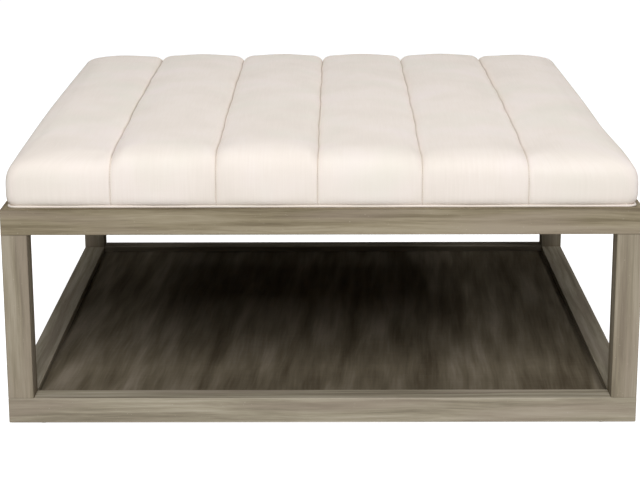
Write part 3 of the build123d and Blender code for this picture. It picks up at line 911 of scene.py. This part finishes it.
def welt_path(step):
    """Even steps round a square with rounded corners: the way gone, each point and its outward direction."""
    straight, bend = 2 * (welt_reach - welt_corner), welt_corner * math.pi / 2
    whole = 4 * (straight + bend)
    gone = np.arange(round(whole / step)) * whole / round(whole / step)
    side, rest = np.divmod(gone, straight + bend)
    turn = np.clip((rest - straight) / welt_corner, 0, None)
    along = np.minimum(rest, straight) - straight / 2 + welt_corner * np.sin(turn)
    out = straight / 2 + welt_corner * np.cos(turn)
    heading = side * math.pi / 2
    x, y = along * np.cos(heading) + out * np.sin(heading), along * np.sin(heading) - out * np.cos(heading)
    facing = heading + turn
    level = np.zeros_like(x)
    return gone, np.stack([x, y, level], -1), np.stack([np.sin(facing), -np.cos(facing), level], -1)


gone, path, away = welt_path(welt_step)
path[:, 2] = (welt_low.z + welt_high.z) / 2 + hair
angle = np.arange(welt_sides) * 2 * math.pi / welt_sides
wobble = 1 + 0.03 * np.sin(gone * 97) * np.sin(gone * 41 + 1) + 0.02 * np.sin(gone * 233 + 2)
upward = np.array([0, 0, 1.0])
radial = away[:, None] * np.cos(angle)[None, :, None] + upward * np.sin(angle)[None, :, None]
tube = path[:, None] + radial * (welt_radius * wobble)[:, None, None]
index = np.arange(len(gone) * welt_sides).reshape(len(gone), welt_sides)
ahead, beside = np.roll(index, -1, axis=0), np.roll(index, -1, axis=1)
welt_quads = np.stack([part.ravel() for part in (index, ahead, np.roll(ahead, -1, axis=1), beside)], -1)
length, girth = (part.ravel() for part in np.meshgrid(gone, angle * welt_radius, indexing="ij"))
bias = np.stack([length + girth, length - girth], -1) / math.sqrt(2)
welt = mesh_object("linen_welt", tube.reshape(-1, 3), [welt_quads], bias)
welt.data.materials.append(linen)
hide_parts("base_welt")

# Dust cloth: black spun-bonded cloth that closes the underside of the seat, stapled to the deck inside the frame. It
# hangs slack in two bays, beside the stretcher. The staples are galvanised wire, 10 mm across.
cloth_low, cloth_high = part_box("dust_cloth")
cloth_thickness = 0.0004
bay_sag = 0.004
held_edge = 0.012
bond_pitch = 0.0022
spun_fibre = 0.004
staple_pitch, staple_length, staple_radius = 0.038, 0.010, 0.00045
staple_inset, row_end = 0.008, 0.02


def dust_sheet(count):
    """A flat grid that sags by depth * (sin(pi u) * sin(pi v))^1.5 in each of the two bays between its held edges.

    Each bay also has a shallow wrinkle, a sine wave across it whose phase sways with y."""
    x, y = np.meshgrid(np.linspace(cloth_low.x, cloth_high.x, count), np.linspace(cloth_low.y, cloth_high.y, count))
    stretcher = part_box("deck_stretcher")[1].x
    u = np.clip((np.abs(x) - stretcher) / (cloth_high.x - held_edge - stretcher), 0, 1)
    v = np.clip((y + cloth_high.y - held_edge) / (2 * (cloth_high.y - held_edge)), 0, 1)
    slack = np.clip(np.sin(np.pi * u) * np.sin(np.pi * v), 0, 1)
    wrinkle = 0.0003 * np.sin(x * 61 + 9 * np.sin(y * 7)) * slack
    points = np.stack([x, y, cloth_high.z - hair - bay_sag * slack**1.5 + wrinkle], -1).reshape(-1, 3)
    return points, grid_faces(np.arange(count * count).reshape(count, count))


sheet_points, sheet_quads = dust_sheet(90)
dust = mesh_object("spun_dust_cloth", sheet_points, [sheet_quads], sheet_points[:, :2])
thicken(dust, "cloth_thickness", cloth_thickness, 1.0)
spun, tree = blank_material("spun_bonded_cloth")
flat = add_node(tree, "UVMap", uv_map="cloth")[0]
bonds = add_node(tree, "TexVoronoi", {"Vector": flat, "Scale": 1 / bond_pitch})["Distance"]
fibres = {"Vector": flat, "Scale": 1 / spun_fibre, "Detail": 5.0, "Roughness": 0.7, "Distortion": 2.0}
fibres = add_node(tree, "TexNoise", fibres)["Fac"]
tone = weighed(tree, [(bonds, 0.4), (fibres, 0.6)])
colour = add_node(tree, "ValToRGB", {"Fac": tone}, evenly(("#151517", "#1F1F22", "#2E2E32"), 0.25, 0.7))[0]
covered(tree, colour, 0.85, (bonds, 0.4, 0.0003), {"Specular IOR Level": 0.3})
dust.data.materials.append(spun)
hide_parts("dust_cloth")

edge_line = cloth_high.x - staple_inset
spots = np.arange(row_end - edge_line, edge_line - row_end + hair, staple_pitch)
level = np.full_like(spots, cloth_low.z + hair)
across = np.stack([spots, np.full_like(spots, edge_line), level], -1)
along = np.stack([np.full_like(spots, edge_line), spots, level], -1)
staple_places = np.concatenate([across, across * [1, -1, 1], along, along * [-1, 1, 1]])
row_ways = [[1.0, 0.06, 0.0], [1.0, -0.04, 0.0], [0.05, 1.0, 0.0], [-0.06, 1.0, 0.0]]
staple_ways = np.repeat(row_ways, len(spots), axis=0)
staples = mesh_object("dust_cloth_staples", *rods(staple_places, staple_ways, staple_length, staple_radius))
staples.data.materials.append(zinc)
